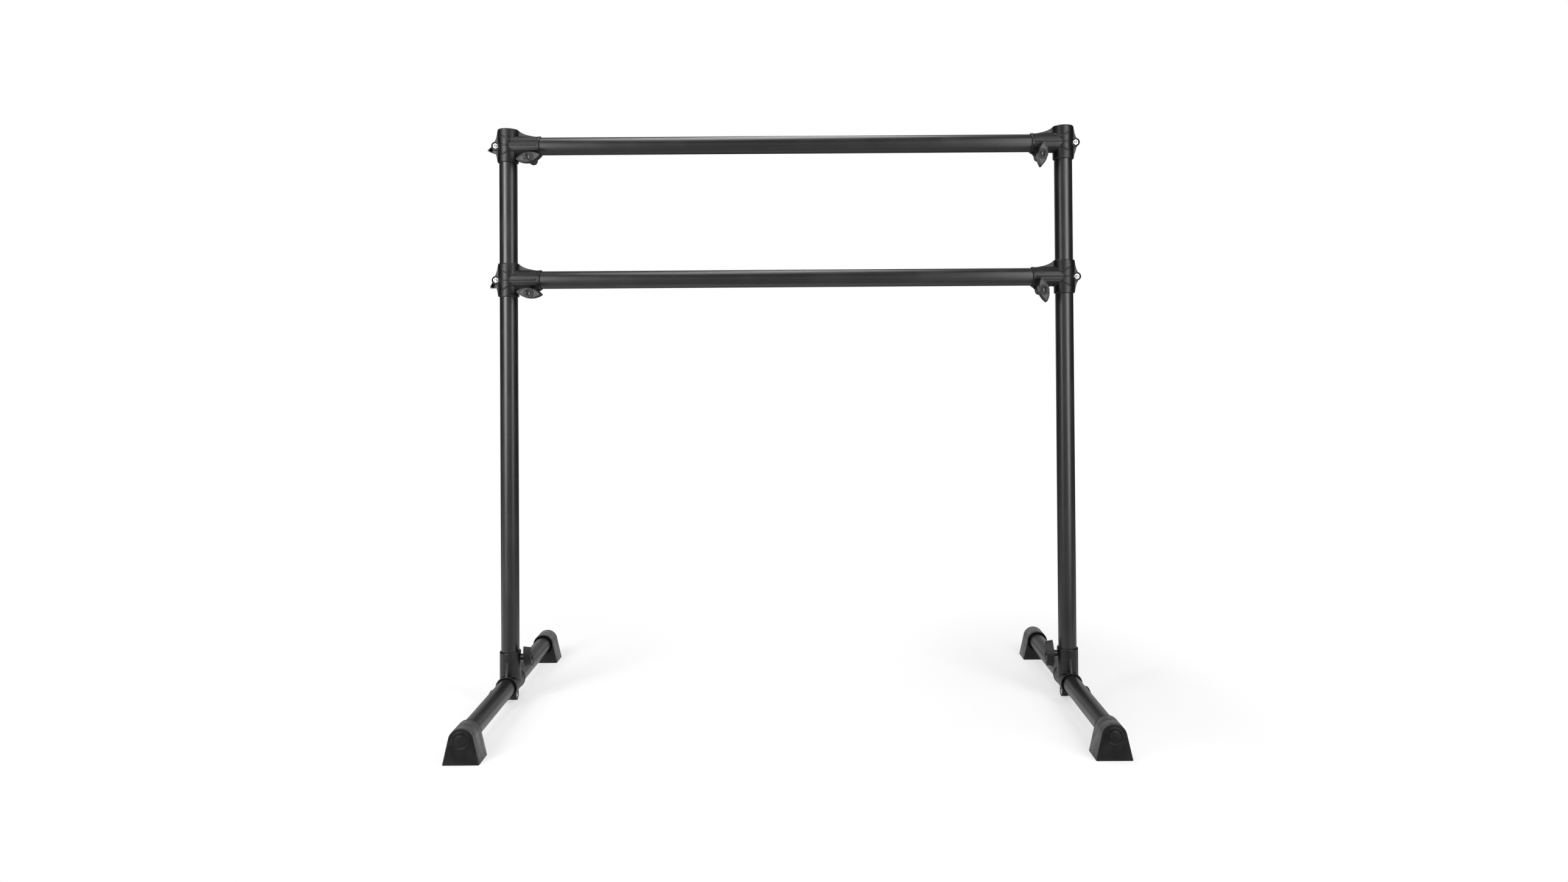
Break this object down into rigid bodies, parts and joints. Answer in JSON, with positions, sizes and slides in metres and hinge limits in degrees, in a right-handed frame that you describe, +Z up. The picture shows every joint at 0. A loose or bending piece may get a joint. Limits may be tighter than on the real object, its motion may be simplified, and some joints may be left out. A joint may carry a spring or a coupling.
{
  "type": "double ballet barre",
  "caption": "Free-standing practice barre: horizontal tubes, one above the other, held between uprights by clamped tee fittings with wing knobs, on swivelling cross feet.",
  "frame": {"origin": "on the floor, midway between the two uprights", "axes": "+X along the bars towards the right upright, +Y away from the viewer of the picture, along the feet, +Z up"},
  "size_m": [1.2911, 0.61, 1.2338],
  "materials": {
    "black_steel": "satin black powder coat",
    "black_plastic": "matte black with a fine grain",
    "knob_plastic": "matte black",
    "cap_plastic": "matte black",
    "foot_rubber": "matte dark grey",
    "zinc_steel": "bright zinc plate"
  },
  "bodies": {
    "frame": {"left_upright": "black_steel", "right_upright": "black_steel", "left_upright_cap": "cap_plastic", "right_upright_cap": "cap_plastic"},
    "top_level": {"top_bar": "black_steel", "top_left_tee": "black_plastic", "top_left_post_nut": "zinc_steel", "top_left_bar_nut": "zinc_steel", "top_right_tee": "black_plastic", "top_right_post_nut": "zinc_steel", "top_right_bar_nut": "zinc_steel"},
    "top_left_post_screw": {"top_left_post_bolt": "zinc_steel"},
    "top_left_post_wing": {"top_left_post_knob": "knob_plastic"},
    "top_left_bar_screw": {"top_left_bar_bolt": "zinc_steel"},
    "top_left_bar_wing": {"top_left_bar_knob": "knob_plastic"},
    "top_right_post_screw": {"top_right_post_bolt": "zinc_steel"},
    "top_right_post_wing": {"top_right_post_knob": "knob_plastic"},
    "top_right_bar_screw": {"top_right_bar_bolt": "zinc_steel"},
    "top_right_bar_wing": {"top_right_bar_knob": "knob_plastic"},
    "lower_level": {"lower_bar": "black_steel", "lower_left_tee": "black_plastic", "lower_left_post_nut": "zinc_steel", "lower_left_bar_nut": "zinc_steel", "lower_right_tee": "black_plastic", "lower_right_post_nut": "zinc_steel", "lower_right_bar_nut": "zinc_steel"},
    "lower_left_post_screw": {"lower_left_post_bolt": "zinc_steel"},
    "lower_left_post_wing": {"lower_left_post_knob": "knob_plastic"},
    "lower_left_bar_screw": {"lower_left_bar_bolt": "zinc_steel"},
    "lower_left_bar_wing": {"lower_left_bar_knob": "knob_plastic"},
    "lower_right_post_screw": {"lower_right_post_bolt": "zinc_steel"},
    "lower_right_post_wing": {"lower_right_post_knob": "knob_plastic"},
    "lower_right_bar_screw": {"lower_right_bar_bolt": "zinc_steel"},
    "lower_right_bar_wing": {"lower_right_bar_knob": "knob_plastic"},
    "left_base": {"left_base_fitting": "black_plastic", "left_lock_insert": "zinc_steel", "left_under_nut": "zinc_steel"},
    "left_cross": {"left_base_tube": "black_steel", "left_front_foot": "foot_rubber", "left_rear_foot": "foot_rubber"},
    "left_lock_screw": {"left_lock_screw": "zinc_steel"},
    "left_lock_wing": {"left_lock_knob": "knob_plastic"},
    "left_under_screw": {"left_under_bolt": "zinc_steel"},
    "left_under_wing": {"left_under_knob": "knob_plastic"},
    "right_base": {"right_base_fitting": "black_plastic", "right_lock_insert": "zinc_steel", "right_under_nut": "zinc_steel"},
    "right_cross": {"right_base_tube": "black_steel", "right_front_foot": "foot_rubber", "right_rear_foot": "foot_rubber"},
    "right_lock_screw": {"right_lock_screw": "zinc_steel"},
    "right_lock_wing": {"right_lock_knob": "knob_plastic"},
    "right_under_screw": {"right_under_bolt": "zinc_steel"},
    "right_under_wing": {"right_under_knob": "knob_plastic"}
  },
  "joints": [
    {"name": "top_bar_height", "type": "slide", "parent": "frame", "child": "top_level", "axis": [0, 0, 1], "range_m": [-0.1, 0]},
    {"name": "top_left_post_travel", "type": "slide", "parent": "top_level", "child": "top_left_post_screw", "axis": [0, 1, 0], "range_m": [0, 0.003]},
    {"name": "top_left_post_unscrew", "type": "hinge", "parent": "top_left_post_screw", "child": "top_left_post_wing", "pos_m": [-0.62325, 0, 1.1967], "axis": [0, 1, 0], "range_deg": [0, 1080]},
    {"name": "top_left_bar_travel", "type": "slide", "parent": "top_level", "child": "top_left_bar_screw", "axis": [0, -1, 0], "range_m": [0, 0.003]},
    {"name": "top_left_bar_unscrew", "type": "hinge", "parent": "top_left_bar_screw", "child": "top_left_bar_wing", "pos_m": [-0.54625, 0, 1.1672], "axis": [0, -1, 0], "range_deg": [0, 1080]},
    {"name": "top_right_post_travel", "type": "slide", "parent": "top_level", "child": "top_right_post_screw", "axis": [0, 1, 0], "range_m": [0, 0.003]},
    {"name": "top_right_post_unscrew", "type": "hinge", "parent": "top_right_post_screw", "child": "top_right_post_wing", "pos_m": [0.62325, 0, 1.1967], "axis": [0, 1, 0], "range_deg": [0, 1080]},
    {"name": "top_right_bar_travel", "type": "slide", "parent": "top_level", "child": "top_right_bar_screw", "axis": [0, -1, 0], "range_m": [0, 0.003]},
    {"name": "top_right_bar_unscrew", "type": "hinge", "parent": "top_right_bar_screw", "child": "top_right_bar_wing", "pos_m": [0.54625, 0, 1.1672], "axis": [0, -1, 0], "range_deg": [0, 1080]},
    {"name": "lower_bar_height", "type": "slide", "parent": "frame", "child": "lower_level", "axis": [0, 0, 1], "range_m": [-0.715, 0.1]},
    {"name": "lower_left_post_travel", "type": "slide", "parent": "lower_level", "child": "lower_left_post_screw", "axis": [0, 1, 0], "range_m": [0, 0.003]},
    {"name": "lower_left_post_unscrew", "type": "hinge", "parent": "lower_left_post_screw", "child": "lower_left_post_wing", "pos_m": [-0.62325, 0, 0.9082], "axis": [0, 1, 0], "range_deg": [0, 1080]},
    {"name": "lower_left_bar_travel", "type": "slide", "parent": "lower_level", "child": "lower_left_bar_screw", "axis": [0, -1, 0], "range_m": [0, 0.003]},
    {"name": "lower_left_bar_unscrew", "type": "hinge", "parent": "lower_left_bar_screw", "child": "lower_left_bar_wing", "pos_m": [-0.54625, 0, 0.8787], "axis": [0, -1, 0], "range_deg": [0, 1080]},
    {"name": "lower_right_post_travel", "type": "slide", "parent": "lower_level", "child": "lower_right_post_screw", "axis": [0, 1, 0], "range_m": [0, 0.003]},
    {"name": "lower_right_post_unscrew", "type": "hinge", "parent": "lower_right_post_screw", "child": "lower_right_post_wing", "pos_m": [0.62325, 0, 0.9082], "axis": [0, 1, 0], "range_deg": [0, 1080]},
    {"name": "lower_right_bar_travel", "type": "slide", "parent": "lower_level", "child": "lower_right_bar_screw", "axis": [0, -1, 0], "range_m": [0, 0.003]},
    {"name": "lower_right_bar_unscrew", "type": "hinge", "parent": "lower_right_bar_screw", "child": "lower_right_bar_wing", "pos_m": [0.54625, 0, 0.8787], "axis": [0, -1, 0], "range_deg": [0, 1080]},
    {"name": "left_base_swivel", "type": "hinge", "parent": "frame", "child": "left_base", "pos_m": [-0.59825, 0, 0.0434], "axis": [0, 0, 1], "continuous": true},
    {"name": "left_base_slide", "type": "slide", "parent": "left_base", "child": "left_cross", "axis": [0, 1, 0], "range_m": [-0.22, 0.22]},
    {"name": "left_lock_travel", "type": "slide", "parent": "left_base", "child": "left_lock_screw", "axis": [1, 0, 0], "range_m": [0, 0.003]},
    {"name": "left_lock_unscrew", "type": "hinge", "parent": "left_lock_screw", "child": "left_lock_wing", "pos_m": [-0.57575, 0, 0.0995], "axis": [1, 0, 0], "range_deg": [0, 1080]},
    {"name": "left_under_travel", "type": "slide", "parent": "left_base", "child": "left_under_screw", "axis": [-1, 0, 0], "range_m": [0, 0.003]},
    {"name": "left_under_unscrew", "type": "hinge", "parent": "left_under_screw", "child": "left_under_wing", "pos_m": [-0.61305, 0, 0.017], "axis": [-1, 0, 0], "range_deg": [0, 1080]},
    {"name": "right_base_swivel", "type": "hinge", "parent": "frame", "child": "right_base", "pos_m": [0.59825, 0, 0.0434], "axis": [0, 0, 1], "continuous": true},
    {"name": "right_base_slide", "type": "slide", "parent": "right_base", "child": "right_cross", "axis": [0, 1, 0], "range_m": [-0.22, 0.22]},
    {"name": "right_lock_travel", "type": "slide", "parent": "right_base", "child": "right_lock_screw", "axis": [-1, 0, 0], "range_m": [0, 0.003]},
    {"name": "right_lock_unscrew", "type": "hinge", "parent": "right_lock_screw", "child": "right_lock_wing", "pos_m": [0.57575, 0, 0.0995], "axis": [-1, 0, 0], "range_deg": [0, 1080]},
    {"name": "right_under_travel", "type": "slide", "parent": "right_base", "child": "right_under_screw", "axis": [1, 0, 0], "range_m": [0, 0.003]},
    {"name": "right_under_unscrew", "type": "hinge", "parent": "right_under_screw", "child": "right_under_wing", "pos_m": [0.61305, 0, 0.017], "axis": [1, 0, 0], "range_deg": [0, 1080]}
  ],
  "couplings": [
    {"joint": "top_left_post_travel", "follows": "top_left_post_unscrew", "m_per_rad": 0.000159},
    {"joint": "top_left_bar_travel", "follows": "top_left_bar_unscrew", "m_per_rad": 0.000159},
    {"joint": "top_right_post_travel", "follows": "top_right_post_unscrew", "m_per_rad": 0.000159},
    {"joint": "top_right_bar_travel", "follows": "top_right_bar_unscrew", "m_per_rad": 0.000159},
    {"joint": "lower_left_post_travel", "follows": "lower_left_post_unscrew", "m_per_rad": 0.000159},
    {"joint": "lower_left_bar_travel", "follows": "lower_left_bar_unscrew", "m_per_rad": 0.000159},
    {"joint": "lower_right_post_travel", "follows": "lower_right_post_unscrew", "m_per_rad": 0.000159},
    {"joint": "lower_right_bar_travel", "follows": "lower_right_bar_unscrew", "m_per_rad": 0.000159},
    {"joint": "left_lock_travel", "follows": "left_lock_unscrew", "m_per_rad": 0.000159},
    {"joint": "left_under_travel", "follows": "left_under_unscrew", "m_per_rad": 0.000159},
    {"joint": "right_lock_travel", "follows": "right_lock_unscrew", "m_per_rad": 0.000159},
    {"joint": "right_under_travel", "follows": "right_under_unscrew", "m_per_rad": 0.000159}
  ]
}
